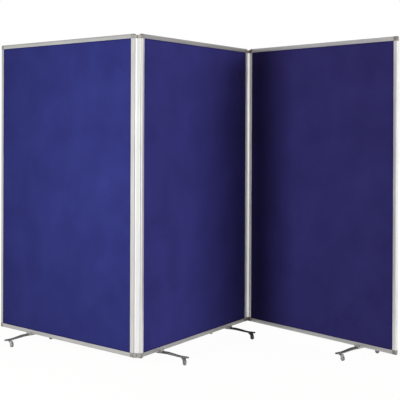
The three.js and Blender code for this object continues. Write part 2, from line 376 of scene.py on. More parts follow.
def welded(mesh: Mesh, merge: float = WELD, sliver: float = WELD) -> Mesh:
    """Merges a mesh's points that all but meet, and drops the slivers between them.

    Args:
        mesh: the mesh to clean.
        merge: how near the points are that become one, or zero to merge none.
        sliver: how short the edges are that are dropped.

    Returns:
        The same mesh.
    """
    work = bmesh.new()
    work.from_mesh(mesh)
    if merge:
        bmesh.ops.remove_doubles(work, verts=work.verts, dist=merge)
    bmesh.ops.dissolve_degenerate(work, edges=work.edges, dist=sliver)
    work.to_mesh(mesh)
    work.free()
    return mesh


def joined(base: Mesh, tool: Mesh, how: Joining) -> Mesh:
    """Combines two solids.

    Args:
        base: the solid that is kept.
        tool: the solid that is added or cut away.
        how: which of the two it is.

    Returns:
        The combined mesh.
    """
    cutter = stood("cutter", welded(tool))

    def steps(blank: Object) -> None:
        """Adds the boolean.

        Args:
            blank: the object that is worked on.
        """
        step = blank.modifiers.new("join", "BOOLEAN")
        step.operation = how.value
        step.object = cutter
        step.solver = "EXACT"

    made = worked(welded(base), steps)
    bpy.data.objects.remove(cutter)
    return shaded(welded(made))


def softened(mesh: Mesh, width: float, segments: int = 2, angle: float = 40.0) -> Mesh:
    """Rounds the edges of a mesh.

    Args:
        mesh: the mesh to round.
        width: how wide the rounding is.
        segments: how many faces run across it.
        angle: edges that turn less than this many degrees are left alone.

    Returns:
        The rounded mesh.
    """

    def steps(blank: Object) -> None:
        """Adds the bevel.

        Args:
            blank: the object that is worked on.
        """
        step = blank.modifiers.new("soften", "BEVEL")
        step.width = width
        step.segments = segments
        step.limit_method = "ANGLE"
        step.angle_limit = math.radians(angle)
        step.use_clamp_overlap = True

    return worked(mesh, steps)


# Finishes


def bare_tree(owner: Material | bpy.types.World) -> Tree:
    """The emptied node tree of a material or a world.

    Args:
        owner: the material or world.

    Returns:
        Its node tree.
    """
    owner.use_nodes = True
    owner.node_tree.nodes.clear()
    return owner.node_tree


def wired(tree: Tree, kind: str, out: str | int, inputs: Inputs, **settings: str) -> Socket:
    """Adds a node, sets or links its inputs, and gives one of its outputs.

    Args:
        tree: the node tree that the node goes in.
        kind: the node's type.
        out: the name or number of the output.
        inputs: sockets to link, or constants, by the name or number of the input.
        settings: the node's own settings.

    Returns:
        The output.
    """
    node = tree.nodes.new(f"ShaderNode{kind}")
    for name, setting in settings.items():
        setattr(node, name, setting)
    for name, value in inputs.items():
        if isinstance(value, Socket):
            tree.links.new(value, node.inputs[name])
        else:
            node.inputs[name].default_value = value
    return node.outputs[out]


def surfaced(tree: Tree, kind: str, surface: Socket) -> None:
    """Ends a node tree with an output node for a material or a world."""
    tree.links.new(surface, tree.nodes.new(f"ShaderNodeOutput{kind}").inputs["Surface"])


def mapped(tree: Tree, value: Socket, start: Point, end: Point) -> Socket:
    """Maps a value from one range to another.

    Args:
        tree: the node tree that the node goes in.
        value: the value.
        start: its range.
        end: the range that it is mapped to.

    Returns:
        The mapped value.
    """
    bounds = zip(("From Min", "From Max", "To Min", "To Max"), (*start, *end))
    return wired(tree, "MapRange", "Result", {"Value": value, **dict(bounds)})


def reckoned(tree: Tree, operation: str, first: Socket, second: Socket) -> Socket:
    """Combines two values with a math node.

    Args:
        tree: the node tree that the node goes in.
        operation: the node's operation.
        first: its first value.
        second: its second value.

    Returns:
        The result.
    """
    return wired(tree, "Math", 0, {0: first, 1: second}, operation=operation)


class Graph:
    """A material's node tree, with short calls that add and link its nodes."""

    NOISE_MIDDLE: Point = (0.3, 0.7)
    CONVEX: Point = (0.52, 0.6)

    def __init__(self, name: str) -> None:
        """Makes a material with a bare shader.

        Args:
            name: the material's name.
        """
        self.material = bpy.data.materials.new(name)
        self.tree = bare_tree(self.material)
        self.shader = self.tree.nodes.new("ShaderNodeBsdfPrincipled")
        surfaced(self.tree, "Material", self.shader.outputs["BSDF"])
        self.place = wired(self.tree, "Attribute", "Vector", {}, attribute_name=GRAIN)

    def value(self, name: str) -> Socket:
        """A number that is kept on the piece's mesh under a name."""
        return wired(self.tree, "Attribute", "Fac", {}, attribute_name=name)

    def settle(self, **values: float | tuple[float, ...]) -> None:
        """Sets constant values on the shader's own sockets, named with underscores for spaces."""
        for name, value in values.items():
            self.shader.inputs[name.replace("_", " ")].default_value = value

    def link(self, source: Socket, target: str) -> None:
        """Links a socket to one of the shader's inputs."""
        self.tree.links.new(source, self.shader.inputs[target])

    def stretched(self, scale: Triple) -> Socket:
        """The piece's coordinates, scaled by axis so that a pattern can run lengthwise.

        Args:
            scale: the scale along X, Y and Z.

        Returns:
            The scaled coordinates.
        """
        return wired(self.tree, "Mapping", "Vector", {"Vector": self.place, "Scale": scale})

    def speckle(self, where: Socket, scale: float = 1.0, detail: float = 3.0, warp: float = 0.0) -> Socket:
        """A noise pattern.

        Args:
            where: its coordinates.
            scale: its scale.
            detail: how many finer layers it has.
            warp: how far it is distorted.

        Returns:
            The pattern as a value.
        """
        inputs = {"Vector": where, "Scale": scale, "Detail": detail, "Distortion": warp}
        return wired(self.tree, "TexNoise", "Fac", inputs)

    def blended(self, first: Socket, second: Socket, share: float) -> Socket:
        """Mixes two patterns.

        Args:
            first: the pattern at a share of zero.
            second: the pattern at a share of one.
            share: how much of the second shows.

        Returns:
            The mixed pattern.
        """
        return wired(self.tree, "Mix", 0, {0: share, 2: first, 3: second}, data_type="FLOAT")

    def ramp(self, value: Socket, stops: Sequence[tuple[float, Triple]]) -> Socket:
        """A colour ramp.

        Args:
            value: what drives it.
            stops: places and colours along it.

        Returns:
            The colour.
        """
        node = self.tree.nodes.new("ShaderNodeValToRGB")
        band = node.color_ramp
        while len(band.elements) < len(stops):
            band.elements.new(0.5)
        for element, (place, colour) in zip(band.elements, stops):
            element.position = place
            element.color = (*colour, 1.0)
        self.tree.links.new(value, node.inputs["Fac"])
        return node.outputs["Color"]

    def ranged(self, value: Socket, low: float, high: float) -> Socket:
        """Maps the middle of a noise pattern to a range of values.

        Args:
            value: the pattern.
            low: the value at its dark end.
            high: the value at its bright end.

        Returns:
            The mapped value.
        """
        return mapped(self.tree, value, self.NOISE_MIDDLE, (low, high))

    def relief(self, height: Socket, strength: float, depth: float) -> None:
        """Raises a fine relief on the surface.

        Args:
            height: the pattern of the relief.
            strength: how much of it shows.
            depth: how deep it is.
        """
        inputs = {"Height": height, "Strength": strength, "Distance": depth}
        self.link(wired(self.tree, "Bump", "Normal", inputs), "Normal")

    def worn(self, colour: Socket, edge: Triple, amount: float) -> Socket:
        """Rubs a colour thin along the convex edges.

        Args:
            colour: the colour of the sound surface.
            edge: the colour that shows through at the edges.
            amount: how much of it shows.

        Returns:
            The worn colour.
        """
        shape = wired(self.tree, "NewGeometry", "Pointiness", {})
        return self.tinted(mapped(self.tree, shape, self.CONVEX, (0.0, amount)), colour, edge)

    def tinted(self, mask: Socket, colour: Socket, other: Triple) -> Socket:
        """Changes a colour to another one where a mask is bright.

        Args:
            mask: how much of the other colour shows.
            colour: the colour where the mask is dark.
            other: the colour where the mask is bright.

        Returns:
            The mixed colour.
        """
        return wired(self.tree, "Mix", 2, {0: mask, 6: colour, 7: (*other, 1.0)}, data_type="RGBA")


@dataclass(frozen=True)
class Felt:
    """Needled felt: matted fibres, faint clouding and a soft bloom at grazing angles; its colour also
    carries painted light, a per-leaf tint and painted shade beside the frame.
    """

    name: str
    # Painted light: a colour scale per leaf for the brightness and hue of the light that falls on it
    light_tint: Triple
    deep: Triple = (0.0205, 0.0228, 0.122)
    plain: Triple = (0.0272, 0.0318, 0.166)
    light: Triple = (0.0362, 0.0440, 0.214)
    # Painted shade: the felt's colour beside the frame, where the lips shade it
    pressed: Triple = (0.0130, 0.0140, 0.080)
    fibre_scale: float = 620.0
    tuft_scale: float = 150.0
    cloud_scale: float = 4.5

    def material(self) -> Material:
        """Builds the felt's node material.

        Returns:
            The material.
        """
        graph = Graph(self.name)
        fibre = graph.speckle(graph.place, self.fibre_scale, detail=5.0, warp=2.2)
        tuft = graph.speckle(graph.place, self.tuft_scale, detail=4.0, warp=1.1)
        cloud = graph.speckle(graph.place, self.cloud_scale)
        matted = graph.blended(fibre, tuft, share=0.4)
        tint = graph.blended(matted, cloud, share=0.3)
        stops = ((0.36, self.light_tinted(self.deep)), (0.5, self.light_tinted(self.plain)), (0.66, self.light_tinted(self.light)))
        loose = graph.ramp(tint, stops)
        # The felt darkens towards the frame: painted shade from the lips, carried by a point attribute
        graph.link(graph.tinted(graph.value(RIM_SHADE), loose, self.light_tinted(self.pressed)), "Base Color")
        graph.link(graph.ranged(matted, low=0.92, high=1.0), "Roughness")
        graph.settle(Specular_IOR_Level=0.12, Sheen_Weight=0.06, Sheen_Roughness=0.45)
        graph.settle(Sheen_Tint=(0.55, 0.56, 0.95, 1.0))
        graph.relief(matted, strength=0.55, depth=0.0006)
        return graph.material

    def light_tinted(self, colour: Triple) -> Triple:
        """A colour of the felt, scaled by the leaf's tint: painted light that stands in for the different
        light on each leaf.
        """
        return tuple(shade * share for shade, share in zip(colour, self.light_tint))


@dataclass(frozen=True)
class AnodisedAluminium:
    """Satin anodised extrusion with fine drawing lines along its length."""

    name: str
    dull: Triple
    bright: Triple
    gloss_low: float = 0.42
    gloss_high: float = 0.52
    metallic: float = 0.7
    drawn_scale: Triple = (2600.0, 2600.0, 3.0)
    cloud_scale: Triple = (40.0, 40.0, 6.0)

    def material(self) -> Material:
        """Builds the extrusion's node material.

        Returns:
            The material.
        """
        graph = Graph(self.name)
        drawn = graph.speckle(graph.stretched(self.drawn_scale))
        cloud = graph.speckle(graph.stretched(self.cloud_scale), detail=2.0)
        tint = graph.blended(drawn, cloud, share=0.45)
        graph.link(graph.ramp(tint, ((0.34, self.dull), (0.66, self.bright))), "Base Color")
        graph.link(graph.ranged(tint, self.gloss_low, self.gloss_high), "Roughness")
        graph.settle(Metallic=self.metallic)
        graph.relief(drawn, strength=0.12, depth=0.00005)
        return graph.material


@dataclass(frozen=True)
class Moulding:
    """Moulded plastic with a fine spark-eroded grain, polished a little along its edges."""

    name: str
    body: Triple
    pale: Triple
    edge: Triple
    roughness: float = 0.5
    grain_scale: float = 1500.0
    cloud_scale: float = 45.0
    spread: float = 0.06

    def material(self) -> Material:
        """Builds the moulding's node material.

        Returns:
            The material.
        """
        graph = Graph(self.name)
        grain = graph.speckle(graph.place, self.grain_scale, detail=2.0)
        cloud = graph.speckle(graph.place, self.cloud_scale)
        tint = graph.ramp(graph.blended(grain, cloud, share=0.6), ((0.36, self.body), (0.64, self.pale)))
        graph.link(graph.worn(tint, self.edge, amount=0.35), "Base Color")
        low, high = self.roughness - self.spread, self.roughness + self.spread
        graph.link(graph.ranged(cloud, low, high), "Roughness")
        graph.settle(Specular_IOR_Level=0.4)
        graph.relief(grain, strength=0.25, depth=0.00012)
        return graph.material


@dataclass(frozen=True)
class Coating:
    """Powder coat or stoved paint on steel: a faint orange peel, rubbed brighter along the edges."""

    name: str
    deep: Triple
    pale: Triple
    edge: Triple
    roughness: float
    peel_scale: float = 420.0
    metallic: float = 0.0
    scuff_scale: float = 70.0
    spread: float = 0.07

    def material(self) -> Material:
        """Builds the coating's node material.

        Returns:
            The material.
        """
        graph = Graph(self.name)
        peel = graph.speckle(graph.place, self.peel_scale, detail=2.0)
        scuff = graph.speckle(graph.place, self.scuff_scale, detail=5.0, warp=1.5)
        tint = graph.ramp(graph.blended(peel, scuff, share=0.7), ((0.35, self.deep), (0.65, self.pale)))
        graph.link(graph.worn(tint, self.edge, amount=0.5), "Base Color")
        low, high = self.roughness - self.spread, self.roughness + self.spread
        graph.link(graph.ranged(scuff, low, high), "Roughness")
        graph.settle(Metallic=self.metallic, Specular_IOR_Level=0.5)
        graph.relief(peel, strength=0.3, depth=0.00015)
        return graph.material


@dataclass(frozen=True)
class Fibreboard:
    """Raw fibreboard: pale pressed fibres with darker flecks."""

    pale: Triple = (0.50, 0.37, 0.22)
    dark: Triple = (0.28, 0.19, 0.10)
    fibre_scale: Triple = (300.0, 300.0, 90.0)

    def material(self) -> Material:
        """Builds the board's node material.

        Returns:
            The material.
        """
        graph = Graph("raw_fibreboard")
        graph.place = wired(graph.tree, "TexCoord", "Object", {})
        fibre = graph.speckle(graph.stretched(self.fibre_scale), detail=5.0, warp=1.0)
        graph.link(graph.ramp(fibre, ((0.38, self.dark), (0.6, self.pale))), "Base Color")
        graph.link(graph.ranged(fibre, low=0.8, high=0.95), "Roughness")
        graph.relief(fibre, strength=0.4, depth=0.0003)
        return graph.material


class Wardrobe:
    """Every finish of the screen, made once."""

    # Painted light: each leaf's felt colour is scaled to paint the brightness and hue of the light on that
    # leaf
    FELT_LIGHT_TINTS = {
        1: ("indigo_felt_left", (0.85, 0.86, 0.90)),
        2: ("indigo_felt_middle", (1.04, 0.90, 0.96)),
        3: ("indigo_felt_right", (1.21, 0.95, 0.93)),
    }
    # Painted light: one satin finish in five brightnesses, lit and shaded copies for the light and
    # reflections on each bar
    BARS = {
        BarLight.BRIGHT: ("satin_bar_painted_bright", (0.74, 0.74, 0.735), (0.90, 0.90, 0.89)),
        BarLight.PALE: ("satin_bar_painted_pale", (0.62, 0.62, 0.615), (0.81, 0.81, 0.80)),
        BarLight.FAIR: ("satin_bar_painted_fair", (0.53, 0.53, 0.525), (0.71, 0.71, 0.70)),
        BarLight.SATIN: ("satin_bar", (0.42, 0.42, 0.415), (0.58, 0.58, 0.57)),
        BarLight.DULL: ("satin_bar_painted_dull", (0.33, 0.33, 0.325), (0.46, 0.46, 0.45)),
    }
    POWDERS = (
        ("graphite_powder", (0.125, 0.127, 0.125), (0.185, 0.187, 0.185), (0.29, 0.29, 0.29)),
        # Painted shade: the graphite coating darkened for foot 3's arm, which stands in shade
        ("shaded_graphite_powder", (0.020, 0.020, 0.022), (0.034, 0.034, 0.036), (0.09, 0.09, 0.095)),
    )
    HOODS = {
        Tone.PALE: ("pale_hood", (0.35, 0.36, 0.355), (0.44, 0.45, 0.445), (0.58, 0.58, 0.58)),
        Tone.MIDDLE: ("grey_hood", (0.10, 0.10, 0.10), (0.15, 0.15, 0.15), (0.25, 0.25, 0.25)),
        # Painted shade: the hood darkened for foot 3, which stands in shade
        Tone.DARK: ("shaded_hood", (0.016, 0.016, 0.018), (0.026, 0.026, 0.028), (0.07, 0.07, 0.07)),
    }
    TYRES = (
        ("grey_tyre", (0.070, 0.070, 0.072), (0.105, 0.105, 0.107), (0.17, 0.17, 0.17)),
        ("black_tyre", (0.014, 0.014, 0.015), (0.024, 0.024, 0.025), (0.05, 0.05, 0.05)),
    )

    def __init__(self) -> None:
        """Builds the materials."""
        self.felts = {leaf: Felt(*look).material() for leaf, look in self.FELT_LIGHT_TINTS.items()}
        self.core = Fibreboard().material()
        self.bars = {shade: AnodisedAluminium(*look).material() for shade, look in self.BARS.items()}
        self.strip = AnodisedAluminium(
            "bright_strip", (0.78, 0.785, 0.77), (0.90, 0.905, 0.89),
            gloss_low=0.32, gloss_high=0.42, metallic=0.95,
        ).material()
        self.cap = Moulding(
            "grey_cap", (0.22, 0.22, 0.215), (0.29, 0.29, 0.28), (0.40, 0.40, 0.39)
        ).material()
        graphite, shaded_graphite = (Coating(*look, roughness=0.46).material() for look in self.POWDERS)
        self.arms = {Tone.PALE: graphite, Tone.MIDDLE: graphite, Tone.DARK: shaded_graphite}
        self.saddle = Coating(
            "grey_enamel", (0.34, 0.36, 0.335), (0.44, 0.46, 0.43), (0.6, 0.61, 0.58),
            roughness=0.38, peel_scale=240.0, metallic=0.15,
        ).material()
        self.bolt = Coating(
            "bright_zinc", (0.42, 0.43, 0.45), (0.60, 0.61, 0.62), (0.75, 0.75, 0.76),
            roughness=0.32, peel_scale=900.0, metallic=1.0,
        ).material()
        self.hoods = {tone: Moulding(*look, roughness=0.42).material() for tone, look in self.HOODS.items()}
        grey, black = (Moulding(*look, roughness=0.6, grain_scale=700.0).material() for look in self.TYRES)
        self.tyres = {Tone.PALE: grey, Tone.MIDDLE: black, Tone.DARK: black}
        self.hub = Moulding(
            "grey_hub", (0.20, 0.20, 0.205), (0.27, 0.27, 0.275), (0.4, 0.4, 0.4), roughness=0.45
        ).material()


# Places


@dataclass(frozen=True)
class LeafPlace:
    """Where a leaf stands: its number, and the matrix from leaf space to the row frame.

    Leaf space has X along the leaf from its left outer edge, Y towards its back and Z up from the floor.
    """

    number: int
    matrix: Matrix

    @property
    def body(self) -> str:
        """The CAD body that the leaf is."""
        return f"leaf_{self.number}"


def turned_at(place: Vector, turn: float) -> Matrix:
    """The matrix of what stands at a point of the floor and is turned about Z."""
    return Matrix.Translation((place.x, place.y, 0)) @ Matrix.Rotation(turn, 4, "Z")


class Places:
    """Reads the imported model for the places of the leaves, pivots and castors."""

    def __init__(self, packed: dict, leaf_width: float) -> None:
        """Keeps the joints by name.

        Args:
            leaf_width: the width of a leaf.
        """
        self.joints = {joint["name"]: joint for joint in packed["joints"]}
        self.leaf_width = leaf_width

    def pivot(self, name: str) -> Vector:
        """The place of a joint."""
        return Vector(self.joints[name]["pos_m"])

    def core(self, number: int) -> Vector:
        """The middle of a leaf's board."""
        low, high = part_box(f"leaf_{number}_core")
        return (low + high) / 2

    def leaf(self, number: int) -> LeafPlace:
        """Works out where a leaf stands from its board and the pivots beside it.

        Args:
            number: the leaf's number, counted from the left.

        Returns:
            The leaf's place.
        """
        runs = {
            1: lambda: self.pivot("hinge_1_left_pivot") - self.core(1),
            2: lambda: self.pivot("hinge_2_middle_pivot") - self.pivot("hinge_1_middle_pivot"),
            3: lambda: self.core(3) - self.pivot("hinge_2_right_pivot"),
        }
        along = runs[number]()
        spot = turned_at(self.core(number), math.atan2(along.y, along.x))
        return LeafPlace(number, spot @ Matrix.Translation((-self.leaf_width / 2, 0, 0)))

    def strip(self, number: int) -> Matrix:
        """Works out where a hinge strip stands: its first pivot at zero and its second along X.

        Args:
            number: the hinge's number, counted from the left.

        Returns:
            The strip's matrix, with zero height at the floor.
        """
        names = {
            1: ("hinge_1_left_pivot", "hinge_1_middle_pivot"),
            2: ("hinge_2_middle_pivot", "hinge_2_right_pivot"),
        }
        first, second = (self.pivot(name) for name in names[number])
        return turned_at(first, math.atan2(second.y - first.y, second.x - first.x))

    def foot(self, number: int, leaf: LeafPlace) -> Matrix:
        """Works out where a foot stands, midway between its castors and square to its leaf.

        Args:
            number: the foot's number, counted from the left.
            leaf: the leaf above it.

        Returns:
            The foot's matrix, with zero height at the floor.
        """
        ends = [self.pivot(f"castor_{number}_{end.value}_swivel") for end in CastorEnd]
        return turned_at((ends[0] + ends[1]) / 2, 0.0) @ leaf.matrix.to_3x3().to_4x4()

    def castor(self, number: int, end: CastorEnd) -> Matrix:
        """Works out where a castor stands and which way its wheel trails.

        Args:
            number: the foot's number.
            end: the end of the foot that it is on.

        Returns:
            The castor's matrix, its swivel axis at zero and its wheel towards X.
        """
        spot = self.pivot(f"castor_{number}_{end.value}_swivel")
        axle = self.joints[f"wheel_{number}_{end.value}_roll"]["axis"]
        return turned_at(spot, math.atan2(-axle[0], axle[1]))


def install(
    name: str,
    mesh: Mesh,
    matrix: Matrix,
    body: str,
    node: str,
    slot: str,
    finishes: Sequence[Material],
) -> Object:
    """Puts a finished piece in place of a CAD node, its mesh already standing where it belongs.

    The mesh keeps its own coordinates as an attribute, so that a finish follows each piece.

    Args:
        name: the piece's name.
        mesh: its mesh, in its own space.
        matrix: its place in the row frame.
        body: the CAD body that it rides on.
        node: the CAD node that it stands for.
        slot: the record's material slot; not used.
        finishes: its materials, by patch.

    Returns:
        The piece.
    """
    placed = mesh.copy()
    placed.materials.clear()
    for finish in finishes:
        placed.materials.append(finish)
    own = [value for vertex in placed.vertices for value in vertex.co]
    placed.attributes.new(GRAIN, "FLOAT_VECTOR", "POINT").data.foreach_set("vector", own)
    placed.transform(matrix)
    piece = stood(name, placed)
    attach(piece, body)
    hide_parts(node)
    return piece


# Leaves


@dataclass(frozen=True)
class LeafSizes:
    """The sizes that every piece of a leaf shares."""

    width: float = 1.200
    height: float = 1.760
    lift: float = 0.060
    face: float = 0.025
    insert: float = 0.008
    cap_overlap: float = 0.001
    cap_gap: float = 0.0003

    @property
    def middle(self) -> float:
        """The height of the leaf's middle above the floor."""
        return self.lift + self.height / 2

    @property
    def bar_inset(self) -> float:
        """What a bar is short of the leaf's size at each end."""
        return self.face + self.cap_overlap + self.cap_gap


@dataclass(frozen=True)
class FeltCover:
    """The felt sleeve of a board: tight on its faces, rolled down where the channel lips press on it."""

    sizes: LeafSizes
    thickness: float = 0.0012
    pressed: float = 0.00735
    loft: float = 0.00055
    roll: float = 0.0035
    sway: float = 0.00012
    sway_scale: float = 7.0
    # How far from the frame the painted shade on the felt reaches
    rim_shade_width: float = 0.010
    pitch: float = 0.028
    edge_steps: tuple[float, ...] = (
        0.0, 0.004, 0.0072, 0.0078, 0.0084, 0.0092, 0.0102, 0.0116, 0.0135, 0.0152, 0.018,
    )

    def stations(self, half: float) -> list[float]:
        """Places of the grid lines across one direction, close together near the edges.

        Args:
            half: half the sleeve's size that way.

        Returns:
            The places in rising order.
        """
        inner = half - self.edge_steps[-1]
        count = round(2 * inner / self.pitch)
        inside = [-inner + 2 * inner * step / count for step in range(1, count)]
        left = [step - half for step in self.edge_steps]
        return [*left, *inside, *(-place for place in reversed(left))]

    def margins(self, across: float, up: float) -> Point:
        """How far a point is inside the frame, across and up."""
        half = self.sizes.width / 2 - self.sizes.face, self.sizes.height / 2 - self.sizes.face
        return half[0] - abs(across), half[1] - abs(up)

    def level(self, across: float, up: float, side: int) -> float:
        """How far the felt stands off the board's middle at one point.

        Args:
            across: the point's place along the leaf, from its middle.
            up: its place up the leaf, from its middle.
            side: 1 on the back and -1 on the front.

        Returns:
            The distance.
        """
        wide, high = self.margins(across, up)
        corner = max(wide, high) - self.sizes.cap_overlap
        clear = max(0.0, min(wide, high, corner)) / self.roll
        rise = 1 - (1 - min(clear, 1.0)) ** 2
        wave = noise.noise(Vector((across, up, 3.1 * side)) * self.sway_scale)
        return self.pressed + rise * (self.loft + self.sway * wave)

    def rim_shade_share(self, across: float, up: float) -> float:
        """How much painted shade falls on the felt beside the frame, from nothing to one.

        Args:
            across: the point's place along the leaf, from its middle.
            up: its place up the leaf, from its middle.

        Returns:
            The share.
        """
        return (1 - min(1.0, max(0.0, min(self.margins(across, up))) / self.rim_shade_width)) ** 2

    def mesh(self) -> Mesh:
        """Builds the sleeve as one sheet, wrapped round both upright edges.

        Returns:
            The sheet's mesh, centred on the board.
        """
        half_width, half_height = (size + self.sizes.insert for size in self.margins(0.0, 0.0))
        columns = self.stations(half_width)
        shell = Shell()
        rows = []
        for up in self.stations(half_height):
            front = [(across, -self.level(across, up, -1), up) for across in columns]
            back = [(across, self.level(across, up, 1), up) for across in reversed(columns)]
            rows.append(shell.ring([*front, *back]))
        for low, high in zip(rows, rows[1:]):
            shell.bridge(low, high)
        return shell.mesh("felt_sheet")

    def build(self, leaf: LeafPlace, felt: Material) -> Object:
        """Wraps a leaf's board in felt.

        Args:
            leaf: where the leaf stands.
            felt: the felt's material.

        Returns:
            The felt piece.
        """
        matrix = leaf.matrix @ Matrix.Translation((self.sizes.width / 2, 0, self.sizes.middle))
        node = f"{leaf.body}_felt"
        piece = install(f"felt_cover_{leaf.number}", self.mesh(), matrix, leaf.body, node, "felt", [felt])
        # The felt's colour is darkened by this share: painted shade beside the frame lips
        places = [point.vector for point in piece.data.attributes[GRAIN].data]
        rim_shade_shares = [self.rim_shade_share(place[0], place[2]) for place in places]
        piece.data.attributes.new(RIM_SHADE, "FLOAT", "POINT").data.foreach_set("value", rim_shade_shares)
        wall = piece.modifiers.new("thickness", "SOLIDIFY")
        wall.thickness = self.thickness
        wall.offset = -1.0
        return piece


@dataclass(frozen=True)
class FrameBar:
    """The frame extrusion: felt edge at zero, nose towards +X, length along Z."""

    sizes: LeafSizes
    half_thickness: float = 0.0100
    lip_round: float = 0.0005
    lip_slope: Point = (0.0006, 0.0007)
    band: float = 0.0154
    seam: float = 0.0004
    nose_start: float = 0.0170
    channel_depth: float = 0.0083
    channel_half: float = 0.0078
    chamber: tuple[float, float] = (0.0103, 0.0205)
    chamber_half: float = 0.0058
    pivot_out: float = 0.003
    groove_radius: float = 0.0057

    def half_outline(self) -> list[Point]:
        """The back half of the section, from the channel floor to the hinge groove.

        Returns:
            Its points.
        """
        half = self.half_thickness
        lip = arc((self.lip_round, self.channel_half + self.lip_round), (self.lip_round,) * 2, 270, 180, 3)
        across, deep = self.lip_slope
        shoulder = arc((across, half - deep), (across, deep), 180, 90, 7)
        seam = [
            (self.band, half),
            (self.band + self.seam, half - self.seam),
            (self.band + 2 * self.seam, half - self.seam / 4),
        ]
        nose_reach = self.sizes.face - self.nose_start
        nose = arc((self.nose_start, 0), (nose_reach, half - self.seam / 4), 90, 0, 22)
        centre = self.sizes.face + self.pivot_out
        outside = [p for p in nose if math.hypot(p[0] - centre, p[1]) > self.groove_radius]
        meet = outside[-1]
        start = math.degrees(math.asin(min(1.0, meet[1] / self.groove_radius)))
        groove = arc((centre, 0), (self.groove_radius,) * 2, 180 - start, 180, 6)
        return [(self.channel_depth, self.channel_half), *lip, *shoulder, *seam, *outside, *groove[1:]]

    def mesh(self, name: str, length: float) -> Mesh:
        """Extrudes the section.

        Args:
            name: the mesh's name.
            length: the bar's length.

        Returns:
            The bar's mesh.
        """
        half = self.half_outline()
        outline = [*half, *((x, -y) for x, y in reversed(half[:-1]))]
        low, high = self.chamber
        side = self.chamber_half
        return prism(name, outline, [oblong((low, -side), (high, side))], length)


@dataclass(frozen=True)
class CornerCap:
    """A moulded cap for the top right corner of the visible felt, which is at zero.

    A hinged cap also has an ear with the pin that the hinge strip turns on.
    """

    sizes: LeafSizes
    half_thickness: float = 0.0106
    nose_depth: float = 0.0070
    plain_radius: float = 0.0072
    hinged_radius: float = 0.0122
    nose_steps: int = 8
    corner_steps: int = 9
    pocket_half: float = 0.0079
    pocket_depth: float = 0.0083
    pivot_out: float = 0.003
    ear_radius: float = 0.0108
    top_ear_drop: float = 0.008
    bottom_ear_drop: float = 0.002
    ear_chamfer: float = 0.0007
    pin_radius: float = 0.002
    pin_length: float = 0.014
    softening: float = 0.0004

    def track(self, inset: float, rounding: float) -> list[Point]:
        """The outer edge of the cap, moved inwards.

        Args:
            inset: how far it is moved.
            rounding: the radius of the cap's outer corner.

        Returns:
            The points from the top rail's end round the corner to the stile's end.
        """
        start = -self.sizes.cap_overlap
        pivot = self.sizes.face - rounding
        radius = rounding - inset
        turn = arc((pivot, pivot), (radius, radius), 90, 0, self.corner_steps)
        return [(start, self.sizes.face - inset), *turn, (self.sizes.face - inset, start)]

    def pillow(self, rounding: float) -> Mesh:
        """The cap's body, with the nose carried round a corner of some radius.

        Args:
            rounding: the radius of the cap's outer corner.

        Returns:
            The body's mesh.
        """
        shell = Shell()
        rings = {}
        for side in (-1, 1):
            rings[side] = []
            for step in range(self.nose_steps + 1):
                angle = math.pi / 2 * step / self.nose_steps
                inset = self.nose_depth * (1 - math.cos(angle))
                height = side * self.half_thickness * math.sin(angle)
                rings[side].append(shell.ring((x, height, z) for x, z in self.track(inset, rounding)))
            for low, high in zip(rings[side], rings[side][1:]):
                shell.bridge(low, high, closed=False)
            inner = -self.sizes.cap_overlap
            heart = shell.ring([(inner, side * self.half_thickness, inner)])
            shell.face([*rings[side][-1], heart[0]])
            rings[side].append([heart[0]] * len(rings[side][-1]))
        for place in (0, -1):
            front = [ring[place] for ring in rings[-1]]
            back = [ring[place] for ring in rings[1]]
            shell.face([*front[:-1], front[-1], back[-1], *reversed(back[1:-1])])
        return shell.mesh("cap_blank")

    def mesh(self, hinged: bool, end: End) -> Mesh:
        """Builds the cap.

        Args:
            hinged: whether it has the ear and pin of a hinge.
            end: the end of the leaf that it is for.

        Returns:
            The cap's mesh.
        """
        body = self.pillow(self.hinged_radius if hinged else self.plain_radius)
        inner = -self.sizes.cap_overlap - self.pocket_depth
        reach = self.pocket_depth
        pocket = cuboid("pocket", (inner, -self.pocket_half, inner), (reach, self.pocket_half, reach))
        body = joined(body, pocket, Joining.CUT)
        if hinged:
            drop = self.top_ear_drop if end is End.TOP else self.bottom_ear_drop
            low, high = -self.sizes.cap_overlap, self.sizes.face - drop
            radius, pin = self.ear_radius, self.pin_radius
            chamfer = self.ear_chamfer
            profile = [
                (0, low - self.pin_length), (pin - chamfer / 2, low - self.pin_length),
                (pin, low - self.pin_length + chamfer / 2), (pin, low),
                (radius - chamfer, low), (radius, low + chamfer),
                (radius, high - chamfer), (radius - chamfer, high), (0, high),
            ]
            ear = turned("ear", profile, 28)
            out = self.sizes.face + self.pivot_out
            body = joined(body, moved(ear, Matrix.Translation((out, 0, 0))), Joining.ADD)
        made = softened(body, self.softening, segments=2, angle=50.0)
        made.name = f"hinged_{end.value}_cap" if hinged else "plain_cap"
        return made


